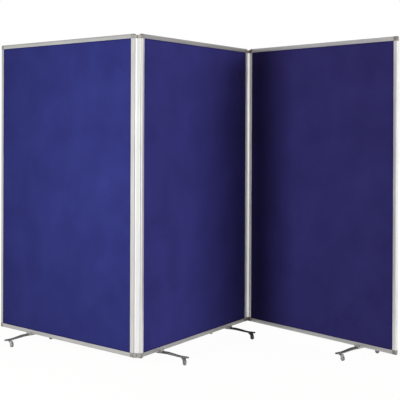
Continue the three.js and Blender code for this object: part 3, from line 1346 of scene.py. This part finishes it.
@dataclass(frozen=True)
class HingeStrip:
    """The strip between two leaves: two round beads joined by a web, with a bore for the cap pins."""

    sizes: LeafSizes
    spacing: float = 0.023
    bead_radius: float = 0.0042
    web: float = 0.005
    fillet: float = 0.0012
    bore: float = 0.0023
    flute: float = 0.0006

    def outline(self) -> list[Point]:
        """The outside of the strip's section, with a shallow flute along the middle of each face.

        Returns:
            Its points.
        """
        seam = math.degrees(math.asin((self.web / 2 + self.fillet * 0.4) / self.bead_radius))
        bead = (self.bead_radius,) * 2
        left = arc((0, 0), bead, seam, 360 - seam, 22)
        right = arc((self.spacing, 0), bead, -180 + seam, 180 - seam, 22)
        step = self.bead_radius * math.cos(math.radians(seam)) + self.fillet
        middle = self.spacing / 2
        edge = -self.web / 2
        lower = [(step, edge), (middle - 3 * self.flute, edge), (middle, edge + self.flute)]
        lower += [(self.spacing - x, y) for x, y in reversed(lower[:-1])]
        upper = [(x, -y) for x, y in reversed(lower)]
        return [*left, *lower, *right, *upper]

    def build(self, number: int, place: Matrix, finish: Material) -> Object:
        """Hangs a strip between two leaves.

        Args:
            number: the hinge's number.
            place: its matrix, at floor height.
            finish: its material.

        Returns:
            The strip.
        """
        holes = [arc((x, 0), (self.bore,) * 2, 0, 345, 23) for x in (0, self.spacing)]
        length = self.sizes.height - 2 * self.sizes.bar_inset
        mesh = prism("strip_section", self.outline(), holes, length)
        matrix = place @ Matrix.Translation((0, 0, self.sizes.middle))
        body, node = f"strip_{number}", f"hinge_strip_{number}"
        return install(f"link_strip_{number}", mesh, matrix, body, node, "strip", [finish])


class LeafFrames:
    """Builds the four bars and four caps of each leaf."""

    # Painted light: the painted brightness each bar gets for the light and reflections on it; bars not
    # listed are pale
    BAR_LIGHTS = {
        (1, "left_stile"): BarLight.SATIN,
        (1, "right_stile"): BarLight.FAIR,
        (3, "left_stile"): BarLight.BRIGHT,
        (1, "top_rail"): BarLight.SATIN,
        (1, "bottom_rail"): BarLight.SATIN,
        (2, "top_rail"): BarLight.DULL,
        (2, "bottom_rail"): BarLight.DULL,
        (3, "top_rail"): BarLight.FAIR,
        (3, "bottom_rail"): BarLight.SATIN,
    }

    def __init__(self, sizes: LeafSizes, wardrobe: Wardrobe) -> None:
        """Makes the meshes that all leaves share.

        Args:
            sizes: the leaf's sizes.
            wardrobe: the finishes.
        """
        self.sizes = sizes
        self.wardrobe = wardrobe
        bar = FrameBar(sizes)
        self.rail = bar.mesh("rail_section", sizes.width - 2 * sizes.bar_inset)
        self.stile = bar.mesh("stile_section", sizes.height - 2 * sizes.bar_inset)
        cap = CornerCap(sizes)
        plain = cap.mesh(False, End.TOP)
        self.caps = {(True, end): cap.mesh(True, end) for end in End}
        self.caps.update({(False, end): plain for end in End})

    def bars(self, leaf: LeafPlace) -> list[Object]:
        """Frames a leaf on all four sides.

        Args:
            leaf: where the leaf stands.

        Returns:
            The two rails and the two stiles.
        """
        sizes = self.sizes
        top = sizes.lift + sizes.height - sizes.face
        quarter = math.pi / 2
        spots = {
            "bottom_rail": (self.rail, (sizes.width / 2, 0, sizes.lift + sizes.face), (quarter, "Y")),
            "top_rail": (self.rail, (sizes.width / 2, 0, top), (-quarter, "Y")),
            "right_stile": (self.stile, (sizes.width - sizes.face, 0, sizes.middle), (0, "Z")),
            "left_stile": (self.stile, (sizes.face, 0, sizes.middle), (math.pi, "Z")),
        }
        made = []
        for name, (mesh, spot, (turn, axis)) in spots.items():
            # The bar's painted brightness stands in for the light and reflections that fall on it
            finish = self.wardrobe.bars[self.BAR_LIGHTS.get((leaf.number, name), BarLight.PALE)]
            matrix = leaf.matrix @ Matrix.Translation(spot) @ Matrix.Rotation(turn, 4, axis)
            node = f"{leaf.body}_{name}"
            made.append(install(f"{name}_{leaf.number}", mesh, matrix, leaf.body, node, "frame", [finish]))
        return made

    def corners(self, leaf: LeafPlace, hinged: Sequence[Side]) -> list[Object]:
        """Caps the four corners of a leaf.

        Args:
            leaf: where the leaf stands.
            hinged: the sides on which the leaf has a hinge.

        Returns:
            The four caps.
        """
        turns = {
            (Side.RIGHT, End.TOP): (0, "Z"),
            (Side.LEFT, End.TOP): (math.pi, "Z"),
            (Side.LEFT, End.BOTTOM): (math.pi, "Y"),
            (Side.RIGHT, End.BOTTOM): (math.pi, "X"),
        }
        across = {Side.LEFT: self.sizes.face, Side.RIGHT: self.sizes.width - self.sizes.face}
        up = {
            End.BOTTOM: self.sizes.lift + self.sizes.face,
            End.TOP: self.sizes.lift + self.sizes.height - self.sizes.face,
        }
        made = []
        for (side, end), (turn, axis) in turns.items():
            spot = Matrix.Translation((across[side], 0, up[end]))
            matrix = leaf.matrix @ spot @ Matrix.Rotation(turn, 4, axis)
            name = f"{end.value}_{side.value}_cap"
            mesh, node = self.caps[side in hinged, end], f"{leaf.body}_{name}"
            finish = [self.wardrobe.cap]
            made.append(install(f"{name}_{leaf.number}", mesh, matrix, leaf.body, node, "cap", finish))
        return made


# Feet


@dataclass(frozen=True)
class FootArm:
    """A double-ended arm along Y: deep at the middle, swept down to a flat round-ended pad at each tip."""

    reach: float = 0.185
    width: float = 0.025
    top: float = 0.0575
    root_depth: float = 0.011
    shoulder: float = 0.038
    pad_length: float = 0.048
    pad_bottom: float = 0.040
    pad_thickness: float = 0.006
    root_round: float = 0.0036
    pad_round: float = 0.0019
    bend_share: float = 0.22
    corner_steps: int = 4

    def stations(self) -> list[tuple[float, ...]]:
        """Cuts through one half of the arm, from its middle to its tip.

        Returns:
            For each cut its place, bottom, top, half width and edge rounding.
        """
        half = self.width / 2
        pad_start = self.reach - self.pad_length
        root_bottom = self.top - self.root_depth
        pad_top = self.pad_bottom + self.pad_thickness
        bend = self.bend_share * (pad_start - self.shoulder)
        cuts = [(0.0, root_bottom, self.top, half, self.root_round)]
        bends = [(self.shoulder, 0), (self.shoulder + bend, 0), (pad_start - bend, 1), (pad_start, 1)]
        for place, share in curve(bends, 16):
            low = root_bottom + (self.pad_bottom - root_bottom) * share
            high = self.top + (pad_top - self.top) * share
            rounding = self.root_round + (self.pad_round - self.root_round) * share
            cuts.append((place, low, high, half, rounding))
        centre = self.reach - half
        for place, across in arc((centre, 0), (half, half), 90, 2, 10):
            rounding = min(self.pad_round, across * 0.9)
            cuts.append((place, self.pad_bottom, pad_top, across, rounding))
        return cuts

    def section(self, place: float, low: float, high: float, half: float, rounding: float) -> list[Triple]:
        """One cut through the arm as a rounded rectangle.

        Args:
            place: where the cut is along the arm.
            low: its lowest height.
            high: its highest height.
            half: half its width.
            rounding: the radius of its corners.

        Returns:
            The points round the cut.
        """
        points = []
        corners = ((1, 1, 0), (-1, 1, 90), (-1, -1, 180), (1, -1, 270))
        for right, up, start in corners:
            centre = (right * (half - rounding), (high if up > 0 else low) - up * rounding)
            for x, z in arc(centre, (rounding, rounding), start, start + 90, self.corner_steps):
                points.append((x, place, z))
        return points

    def mesh(self) -> Mesh:
        """Lofts the arm through its cuts.

        Returns:
            The arm's mesh.
        """
        shell = Shell()
        half = self.stations()
        whole = [(-place, *rest) for place, *rest in reversed(half[1:])] + half
        rings = [shell.ring(self.section(*cut)) for cut in whole]
        for low, high in zip(rings, rings[1:]):
            shell.bridge(low, high)
        shell.face(rings[0])
        shell.face(rings[-1])
        return shell.mesh("arm_loft", 50.0)


@dataclass(frozen=True)
class Saddle:
    """The bracket that cradles the bottom rail's nose and holds the arm between two cheeks."""

    arm: FootArm
    sizes: LeafSizes
    bar: FrameBar
    gap: float = 0.0003
    cheek: float = 0.003
    cheek_drop: float = 0.011
    lip: float = 0.0025
    horn: float = 0.007
    cutter_reach: float = 0.02
    outer_round: float = 0.0012
    edge_round: float = 0.00035

    def mesh(self) -> Mesh:
        """Builds the saddle at the leaf's line, with zero height at the floor.

        Returns:
            The saddle's mesh.
        """
        inner = self.arm.width / 2 + self.gap
        outer = inner + self.cheek
        depth = self.bar.half_thickness + self.lip
        plate = self.arm.top + self.gap
        low, high = plate - self.cheek_drop, self.sizes.lift + self.horn
        blank = cuboid("saddle", (-outer, -depth, low), (outer, depth, high))
        body = softened(blank, self.outer_round, segments=3)
        tunnel = cuboid("tunnel", (-inner, -2 * depth, 0), (inner, 2 * depth, plate))
        body = joined(body, tunnel, Joining.CUT)
        nose = self.sizes.face - self.bar.nose_start + self.gap
        half = self.bar.half_thickness + self.gap
        start = self.sizes.lift + nose - self.gap
        above = start + self.cutter_reach
        outline = [*arc((0, start), (half, nose), 180, 360, 28), (half, above), (-half, above)]
        cradle = prism("cradle", outline, [], 4 * outer)
        lay = Matrix(((0, 0, 1, 0), (1, 0, 0, 0), (0, 1, 0, 0), (0, 0, 0, 1)))
        body = joined(body, moved(cradle, lay), Joining.CUT)
        made = softened(body, self.edge_round, segments=2, angle=50.0)
        made.name = "saddle_cradle"
        return made


@dataclass(frozen=True)
class FootBolt:
    """A button-head bolt under the arm, with a hexagon socket."""

    arm: FootArm
    gap: float = 0.0003
    radius: float = 0.003
    head_radius: float = 0.006
    head_height: float = 0.0033
    socket_radius: float = 0.0023
    socket_depth: float = 0.0018
    shank_top: float = 0.0680
    head_edge: float = 0.0006
    tip_chamfer: float = 0.0005
    crown_angles: tuple[int, ...] = (0, 25, 45, 62, 78, 90)

    def mesh(self) -> Mesh:
        """Builds the bolt at the arm's line, with zero height at the floor.

        Returns:
            The bolt's mesh.
        """
        seat = self.arm.top - self.arm.root_depth - self.gap
        rim, dome = seat - self.head_edge, self.head_height - self.head_edge
        angles = [math.radians(angle) for angle in self.crown_angles]
        crown = [(self.head_radius * math.sin(a), rim - dome * math.cos(a)) for a in angles]
        tip, chamfer = self.shank_top, self.tip_chamfer
        profile = [
            *crown, (self.head_radius, seat), (self.radius, seat),
            (self.radius, tip - chamfer), (self.radius - chamfer, tip), (0, tip),
        ]
        body = turned("bolt", profile, 32)
        hexagon = arc((0, 0), (self.socket_radius,) * 2, 0, 300, 5)
        below = Matrix.Translation((0, 0, seat - self.head_height))
        socket = moved(prism("socket", hexagon, [], 2 * self.socket_depth), below)
        made = joined(body, socket, Joining.CUT)
        made.name = "button_bolt"
        return made


@dataclass(frozen=True)
class Castor:
    """A small swivel castor: its swivel axis at zero and its wheel trailing towards +X."""

    height: float = 0.040
    gap: float = 0.0003
    wheel_radius: float = 0.0125
    wheel_width: float = 0.011
    trail: float = 0.0175
    side_gap: float = 0.0008
    top_gap: float = 0.0016
    cheek: float = 0.0022
    skirt: float = 0.007
    head_radius: float = 0.0095
    head_height: float = 0.004
    edge_round: float = 0.0017
    axle_radius: float = 0.0025
    bore_gap: float = 0.0004
    rivet_step: float = 0.0009
    rivet_proud: float = 0.0004
    rivet_edge: Point = (0.0006, 0.0005)
    head_sink: float = 0.001
    head_edge: float = 0.0004
    race_depth: float = 0.0012
    race_heights: Point = (0.0021, 0.0026)
    plate_insets: Point = (0.0002, 0.0006)
    tyre_depth: float = 0.0036
    tyre_round: float = 0.0020
    tyre_angles: tuple[int, ...] = (0, 18, 36, 54, 72, 84)
    boss: tuple[Point, ...] = ((0.0046, 0.0), (0.0050, 0.0004), (0.0052, 0.0022))
    rim: tuple[Point, ...] = (
        (-0.0016, 0.0024), (-0.0010, 0.0006), (-0.0004, 0.0003), (0.0, 0.0006), (0.0003, 0.0002),
    )

    def hood_outline(self) -> list[Point]:
        """The side view of the hood, as (along, up) points.

        Returns:
            Its points.
        """
        bottom = self.height - self.gap - self.head_height
        top = bottom + self.head_height / 2
        rear, front = self.trail + self.skirt, self.trail - self.skirt
        radius = self.wheel_radius
        back = curve([(self.head_radius, top), (rear, top), (rear, radius)], 14)
        foot = arc((self.trail, radius), (self.skirt, self.skirt), 0, -180, 14)
        shin = curve([(front, radius), (front, bottom - self.head_height), (-self.head_radius, bottom)], 12)
        return [(-self.head_radius, top), *back, *foot[1:], *shin[1:]]

    def half_width(self) -> float:
        """Half the width of the hood."""
        return self.wheel_width / 2 + self.side_gap + self.cheek

    def hood(self) -> Mesh:
        """Builds the hood with its wheel well, axle caps and swivel head.

        Returns:
            The hood's mesh.
        """
        half = self.half_width()
        upright = Matrix.Rotation(math.pi / 2, 4, "X")
        blank = moved(prism("hood", self.hood_outline(), [], 2 * half), upright)
        body = softened(blank, self.edge_round, segments=4, angle=60.0)
        axle = Matrix.Translation((self.trail, 0, self.wheel_radius)) @ upright
        radius = self.wheel_radius + self.top_gap
        depth = self.wheel_width / 2 + self.side_gap
        well = turned("well", [(0, -depth), (radius, -depth), (radius, depth), (0, depth)], 56)
        body = joined(body, moved(well, axle), Joining.CUT)
        body = joined(body, moved(self.stub(), axle), Joining.ADD)
        bottom = self.height - self.gap - self.head_height
        top = self.height - self.gap
        head, race = self.head_radius, self.head_radius - self.race_depth
        low, high = (bottom + height for height in self.race_heights)
        rim, crown = (head - inset for inset in self.plate_insets)
        profile = [
            (0, bottom - self.head_sink), (head - self.head_edge, bottom - self.head_sink), (head, bottom),
            (head, low), (race, low), (race, high), (rim, high), (crown, top), (0, top),
        ]
        swivel = turned("swivel", profile, 40)
        made = joined(body, swivel, Joining.ADD)
        made.name = "castor_hood"
        return made

    def stub(self) -> Mesh:
        """The axle with its two riveted heads, along Z.

        Returns:
            The axle's mesh.
        """
        half = self.half_width()
        rivet = self.axle_radius + self.rivet_step
        inside, tip = half - self.cheek / 2, half + self.rivet_proud
        ease, drop = self.rivet_edge
        end = [(self.axle_radius, inside), (rivet, inside)]
        end += [(rivet, tip - drop), (rivet - ease, tip), (0, tip)]
        return turned("axle", [*((x, -y) for x, y in reversed(end)), *end], 24)

    def wheel(self) -> Mesh:
        """Builds the wheel about Y: a dark crowned tyre on a dished hub.

        Returns:
            The wheel's mesh, with the hub as its first patch and the tyre as its second.
        """
        half = self.wheel_width / 2
        radius = self.wheel_radius
        rim = radius - self.tyre_depth
        right = [
            (self.axle_radius + self.bore_gap, half),
            *((place, half - inset) for place, inset in self.boss),
            *((rim + step, half - inset) for step, inset in self.rim),
        ]
        soft = self.tyre_round
        angles = [math.radians(angle) for angle in self.tyre_angles]
        tread = [(radius - soft + soft * math.sin(a), half - soft + soft * math.cos(a)) for a in angles]
        upper = [*right, *tread, (radius, half * 0.25)]
        profile = [*upper, *((x, -y) for x, y in reversed(upper)), upper[0]]
        hub = len(right) - 1
        spans = len(profile) - 1
        patches = [0 if step < hub or spans - 1 - hub <= step else 1 for step in range(spans)]
        mesh = turned("castor_wheel", profile, 56, patches)
        return moved(mesh, Matrix.Rotation(math.pi / 2, 4, "X"))


class Feet:
    """Builds the four feet with their arms, saddles, bolts and castors."""

    def __init__(self, sizes: LeafSizes, wardrobe: Wardrobe, places: Places) -> None:
        """Makes the meshes that all feet share.

        Args:
            sizes: the leaf's sizes.
            wardrobe: the finishes.
            places: where everything stands.
        """
        arm = FootArm()
        self.castor = Castor()
        self.wardrobe = wardrobe
        self.places = places
        self.parts = {
            "arm": (arm.mesh(), wardrobe.arms),
            "saddle": (Saddle(arm, sizes, FrameBar(sizes)).mesh(), dict.fromkeys(Tone, wardrobe.saddle)),
            "bolt": (FootBolt(arm).mesh(), dict.fromkeys(Tone, wardrobe.bolt)),
        }
        self.hoods = {tone: self.castor.hood() for tone in Tone}
        self.wheel = self.castor.wheel()

    def build(self, number: int, leaf: LeafPlace, tone: Tone) -> list[Object]:
        """Puts a foot under a leaf.

        Args:
            number: the foot's number, counted from the left.
            leaf: the leaf above it.
            tone: how dark its arm and castors are.

        Returns:
            The foot's pieces.
        """
        place = self.places.foot(number, leaf)
        made = []
        for part, (mesh, finishes) in self.parts.items():
            node, finish = f"foot_{number}_{part}", [finishes[tone]]
            made.append(install(f"{part}_{number}", mesh, place, leaf.body, node, part, finish))
        for end in CastorEnd:
            spot = self.places.castor(number, end)
            axle = spot @ Matrix.Translation((self.castor.trail, 0, self.castor.wheel_radius))
            stem = f"{number}_{end.value}"
            hood, wheel = [self.wardrobe.hoods[tone]], [self.wardrobe.hub, self.wardrobe.tyres[tone]]
            halves = (
                ("hood", "castor", "fork", self.hoods[tone], spot, hood),
                ("wheel", "wheel", "wheel", self.wheel, axle, wheel),
            )
            for part, body, slot, mesh, matrix, finishes in halves:
                name, node = f"castor_{part}_{stem}", f"foot_{stem}_{slot}"
                made.append(install(name, mesh, matrix, f"{body}_{stem}", node, slot, finishes))
        return made


# Studio


@dataclass(frozen=True)
class Camera:
    """The photograph's viewing place, as solved from the screen's edges."""

    focal_px: float = 970.0
    image_px: float = 400.0
    centre_px: Point = (185.4, 130.85)
    sensor_mm: float = 36.0
    place: Triple = (0.0021, -5.7673, 1.3104)
    pan: float = 0.146
    dip: float = 0.191
    roll: float = 0.222
    clip_end: float = 100.0

    def build(self) -> Object:
        """Makes the camera and gives it to the scene.

        Returns:
            The camera.
        """
        data = bpy.data.cameras.new("photo_camera")
        data.sensor_width = self.sensor_mm
        data.sensor_fit = "HORIZONTAL"
        data.lens = self.focal_px * self.sensor_mm / self.image_px
        data.shift_x = (self.image_px / 2 - self.centre_px[0]) / self.image_px
        data.shift_y = (self.centre_px[1] - self.image_px / 2) / self.image_px
        data.clip_end = self.clip_end
        camera = stood("photo_camera", data)
        turn = (
            Matrix.Rotation(math.radians(self.pan), 4, "Z")
            @ Matrix.Rotation(math.radians(90 - self.dip), 4, "X")
            @ Matrix.Rotation(math.radians(self.roll), 4, "Z")
        )
        camera.matrix_world = Matrix.Translation(self.place) @ turn
        bpy.context.scene.camera = camera
        return camera


@dataclass(frozen=True)
class Lamp:
    """One soft area lamp, aimed at a point. No camera shows it, and a gloss shows it only when asked to."""

    name: str
    place: Triple
    aim: Triple
    size: float
    power: float
    colour: Triple = (1.0, 1.0, 1.0)
    gloss: bool = False

    def build(self) -> Object:
        """Hangs the lamp.

        Returns:
            The lamp.
        """
        data = bpy.data.lights.new(self.name, "AREA")
        data.shape = "DISK"
        data.size = self.size
        data.energy = self.power
        data.color = self.colour
        lamp = stood(self.name, data)
        direction = Vector(self.aim) - Vector(self.place)
        turn = direction.to_track_quat("-Z", "Y").to_matrix().to_4x4()
        lamp.matrix_world = Matrix.Translation(self.place) @ turn
        lamp.visible_camera = False
        lamp.visible_glossy = self.gloss
        return lamp


@dataclass(frozen=True)
class Studio:
    """A plain pale studio: white background, white floor that keeps a soft shadow, and soft lamps."""

    floor_half: float = 30.0
    floor_drop: float = 0.0002
    floor_colour: Triple = (0.42, 0.40, 0.38)
    floor_glow: float = 1.04
    glow_near: float = 0.935
    glow_from: float = 1.3
    glow_to: float = 3.2
    dome: float = 0.27
    dome_tint: Triple = (1.0, 0.62, 0.53)
    zenith_from: float = 0.8
    zenith_share: float = 0.5
    lamps: tuple[Lamp, ...] = (
        Lamp("left_softbox", (-1.9, -2.15, 1.3), (-0.3, -0.1, 1.0), 0.65, 66.0, (0.95, 1.0, 0.99)),
        Lamp("right_softbox", (9.5, -5.2, 2.6), (0.1, -0.2, 0.95), 6.0, 710.0, (0.98, 0.97, 0.98)),
        Lamp("right_rim", (9.5, -5.2, 2.6), (0.1, -0.2, 0.95), 6.0, 230.0, (0.98, 0.97, 0.98), True),
        Lamp("front_fill", (5.8, -8.9, 2.6), (0.1, 0.0, 0.95), 4.0, 150.0, (1.0, 0.97, 0.96), True),
    )

    def world(self) -> None:
        """Sets the world: white to look at, darker overhead in a gloss, and a soft dome of light."""
        world = bpy.data.worlds.new("studio_dome")
        bpy.context.scene.world = world
        tree = bare_tree(world)
        place = wired(tree, "TexCoord", "Generated", {})
        height = wired(tree, "SeparateXYZ", "Z", {"Vector": place})
        mirrored = mapped(tree, height, (0.0, self.zenith_from), (1.0, self.zenith_share))
        path = tree.nodes.new("ShaderNodeLightPath").outputs
        seen = reckoned(tree, "MAXIMUM", path["Is Camera Ray"], path["Is Transmission Ray"])
        glossed = reckoned(tree, "MULTIPLY", path["Is Glossy Ray"], mirrored)
        white = reckoned(tree, "MAXIMUM", seen, glossed)
        pale = wired(tree, "Background", "Background", {"Strength": white, "Color": WHITE})
        tint = (*self.dome_tint, 1.0)
        soft = wired(tree, "Background", "Background", {"Strength": self.dome, "Color": tint})
        either = reckoned(tree, "MAXIMUM", seen, path["Is Glossy Ray"])
        surfaced(tree, "World", wired(tree, "MixShader", "Shader", {0: either, 1: soft, 2: pale}))

    def floor_material(self) -> Material:
        """A white floor that glows more with distance, so that only a share of the shadow shows.

        Returns:
            The material.
        """
        material = bpy.data.materials.new("studio_floor")
        tree = bare_tree(material)
        matt = wired(tree, "BsdfDiffuse", "BSDF", {"Color": (*self.floor_colour, 1.0)})
        glow = wired(tree, "Emission", "Emission", {"Color": WHITE, "Strength": self.floor_glow})
        place = wired(tree, "NewGeometry", "Position", {})
        away = wired(tree, "VectorMath", "Value", {0: place}, operation="LENGTH")
        share = mapped(tree, away, (self.glow_from, self.glow_to), (self.glow_near, 1.0))
        path = tree.nodes.new("ShaderNodeLightPath").outputs
        clear = reckoned(tree, "MAXIMUM", path["Is Camera Ray"], path["Is Transmission Ray"])
        seen = reckoned(tree, "MAXIMUM", clear, path["Is Glossy Ray"])
        shown = reckoned(tree, "MULTIPLY", seen, share)
        surfaced(tree, "Material", wired(tree, "MixShader", "Shader", {0: shown, 1: matt, 2: glow}))
        return material

    def build(self) -> None:
        """Lays the floor and hangs the lamps."""
        shell = Shell()
        half = self.floor_half
        shell.face(shell.ring((x, y, -self.floor_drop) for x, y in oblong((-half, -half), (half, half))))
        floor = stood("studio_floor", shell.mesh("studio_floor"))
        floor.data.materials.append(self.floor_material())
        self.world()
        for lamp in self.lamps:
            lamp.build()


class Screen:
    """The whole folding screen, built leaf by leaf from the left."""

    def __init__(self) -> None:
        """Makes the finishes and reads the places."""
        self.sizes = LeafSizes()
        self.wardrobe = Wardrobe()
        self.places = Places(frame, self.sizes.width)

    def dress_cores(self) -> None:
        """Gives the boards inside the felt their raw fibreboard finish."""
        for number in (1, 2, 3):
            core = frame["nodes"][f"leaf_{number}_core"]
            core.data.materials.clear()
            core.data.materials.append(self.wardrobe.core)
            log.info("dressed %s", core.name)

    def build(self) -> None:
        """Builds the leaves, their feet and the strips between them."""
        self.dress_cores()
        frames = LeafFrames(self.sizes, self.wardrobe)
        feet = Feet(self.sizes, self.wardrobe, self.places)
        cover = FeltCover(self.sizes)
        plan = {
            1: ((1,), (Side.RIGHT,)),
            2: ((2, 3), (Side.LEFT, Side.RIGHT)),
            3: ((4,), (Side.LEFT,)),
        }
        # Foot 3 gets the darkest tone: painted shade for the shade it stands in
        tones = {1: Tone.PALE, 2: Tone.MIDDLE, 3: Tone.DARK, 4: Tone.PALE}
        for number, (foot_numbers, hinged) in plan.items():
            leaf = self.places.leaf(number)
            made = [cover.build(leaf, self.wardrobe.felts[number])]
            made += [*frames.bars(leaf), *frames.corners(leaf, hinged)]
            for foot in foot_numbers:
                made += feet.build(foot, leaf, tones[foot])
            for piece in made:
                log.info("placed %s on %s", piece.name, piece.parent.name)
        strip = HingeStrip(self.sizes)
        for number in (1, 2):
            piece = strip.build(number, self.places.strip(number), self.wardrobe.strip)
            log.info("placed %s on %s", piece.name, piece.parent.name)


def main() -> None:
    """Sets the camera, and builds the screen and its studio."""
    logging.basicConfig(level=logging.INFO, format="%(message)s")
    bpy.context.scene.view_settings.view_transform = "Standard"
    Camera().build()
    Screen().build()
    Studio().build()
    bpy.context.view_layer.update()


if __name__ == "__main__":
    main()
